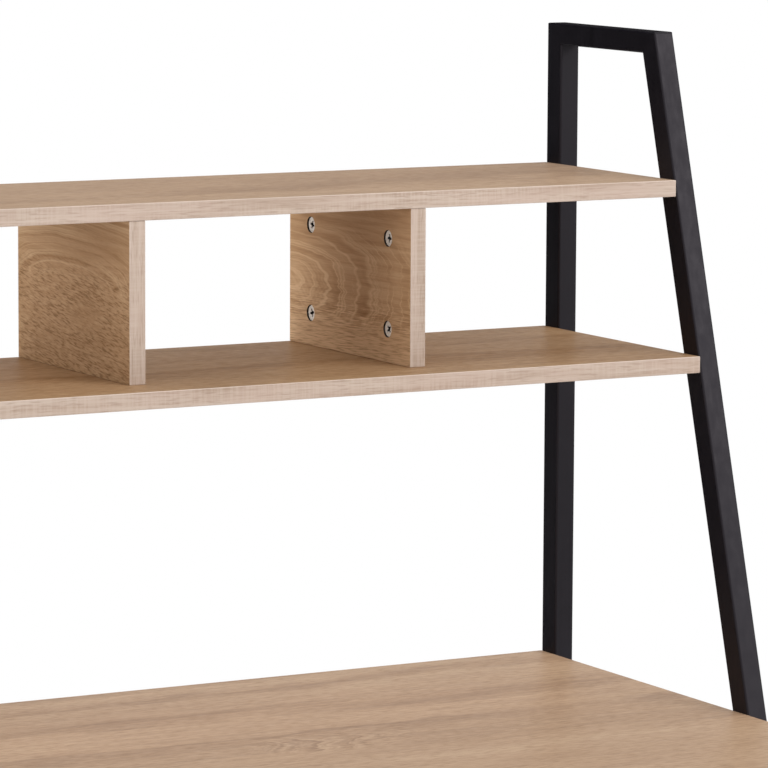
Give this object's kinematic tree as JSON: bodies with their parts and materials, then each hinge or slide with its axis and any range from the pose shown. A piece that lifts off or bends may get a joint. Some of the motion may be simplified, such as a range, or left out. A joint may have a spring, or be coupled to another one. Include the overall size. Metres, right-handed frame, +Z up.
{
  "type": "ladder desk",
  "caption": "Ladder desk: tapered tube side frames carry an oak-effect desk top and shallow shelves above it, with dividers between the shelves.",
  "frame": {"origin": "on the floor, under the middle of the desk's box", "axes": "+Z up, the front looks towards -Y, +X to the right of someone facing the front"},
  "size_m": [0.8566, 0.58, 1.35],
  "materials": {
    "oak_board": "matt sonoma-oak-effect melamine",
    "black_steel": "satin black powder coat",
    "black_bolt": "black oxide",
    "plated_steel": "zinc plated",
    "zinc_cam": "die-cast zinc",
    "black_plastic": "moulded nylon",
    "beech": "fluted beech dowel"
  },
  "bodies": {
    "desk": {"rear_leg_left": "black_steel", "front_leg_left": "black_steel", "top_bar_left": "black_steel", "foot_rail_left": "black_steel", "rear_leg_right": "black_steel", "front_leg_right": "black_steel", "top_bar_right": "black_steel", "foot_rail_right": "black_steel", "desk_rail_front": "black_steel", "desk_rail_rear": "black_steel", "rear_stretcher": "black_steel", "rail_end_nuts": "plated_steel", "desk_top": "oak_board", "lower_shelf": "oak_board", "upper_shelf": "oak_board", "divider_left": "oak_board", "divider_right": "oak_board", "shelf_bolts": "black_bolt", "rail_bolts": "black_bolt", "shelf_sleeves": "plated_steel", "desk_screws": "plated_steel", "cam_bolts": "plated_steel", "divider_dowels": "beech", "foot_inserts": "plated_steel"},
    "cam_left_upper_front": {"cam_left_upper_front": "zinc_cam"},
    "cam_left_lower_front": {"cam_left_lower_front": "zinc_cam"},
    "cam_left_upper_rear": {"cam_left_upper_rear": "zinc_cam"},
    "cam_left_lower_rear": {"cam_left_lower_rear": "zinc_cam"},
    "cam_right_upper_front": {"cam_right_upper_front": "zinc_cam"},
    "cam_right_lower_front": {"cam_right_lower_front": "zinc_cam"},
    "cam_right_upper_rear": {"cam_right_upper_rear": "zinc_cam"},
    "cam_right_lower_rear": {"cam_right_lower_rear": "zinc_cam"},
    "foot_left_front": {"foot_left_front": "black_plastic"},
    "foot_left_rear": {"foot_left_rear": "black_plastic"},
    "foot_right_front": {"foot_right_front": "black_plastic"},
    "foot_right_rear": {"foot_right_rear": "black_plastic"}
  },
  "joints": [
    {"name": "cam_left_upper_front_turn", "type": "hinge", "parent": "desk", "child": "cam_left_upper_front", "pos_m": [-0.13, 0.10465, 1.173], "axis": [1, 0, 0], "range_deg": [-22, 183]},
    {"name": "cam_left_lower_front_turn", "type": "hinge", "parent": "desk", "child": "cam_left_lower_front", "pos_m": [-0.13, 0.10465, 1.092], "axis": [1, 0, 0], "range_deg": [-65, 140]},
    {"name": "cam_left_upper_rear_turn", "type": "hinge", "parent": "desk", "child": "cam_left_upper_rear", "pos_m": [-0.13, 0.249, 1.173], "axis": [1, 0, 0], "range_deg": [-8, 197]},
    {"name": "cam_left_lower_rear_turn", "type": "hinge", "parent": "desk", "child": "cam_left_lower_rear", "pos_m": [-0.13, 0.249, 1.092], "axis": [1, 0, 0], "range_deg": [-40, 165]},
    {"name": "cam_right_upper_front_turn", "type": "hinge", "parent": "desk", "child": "cam_right_upper_front", "pos_m": [0.13, 0.10465, 1.173], "axis": [-1, 0, 0], "range_deg": [-22, 183]},
    {"name": "cam_right_lower_front_turn", "type": "hinge", "parent": "desk", "child": "cam_right_lower_front", "pos_m": [0.13, 0.10465, 1.092], "axis": [-1, 0, 0], "range_deg": [-65, 140]},
    {"name": "cam_right_upper_rear_turn", "type": "hinge", "parent": "desk", "child": "cam_right_upper_rear", "pos_m": [0.13, 0.249, 1.173], "axis": [-1, 0, 0], "range_deg": [-8, 197]},
    {"name": "cam_right_lower_rear_turn", "type": "hinge", "parent": "desk", "child": "cam_right_lower_rear", "pos_m": [0.13, 0.249, 1.092], "axis": [-1, 0, 0], "range_deg": [-40, 165]},
    {"name": "foot_left_front_screw_out", "type": "slide", "parent": "desk", "child": "foot_left_front", "axis": [0, 0, -1], "range_m": [0, 0.008]},
    {"name": "foot_left_rear_screw_out", "type": "slide", "parent": "desk", "child": "foot_left_rear", "axis": [0, 0, -1], "range_m": [0, 0.008]},
    {"name": "foot_right_front_screw_out", "type": "slide", "parent": "desk", "child": "foot_right_front", "axis": [0, 0, -1], "range_m": [0, 0.008]},
    {"name": "foot_right_rear_screw_out", "type": "slide", "parent": "desk", "child": "foot_right_rear", "axis": [0, 0, -1], "range_m": [0, 0.008]}
  ]
}
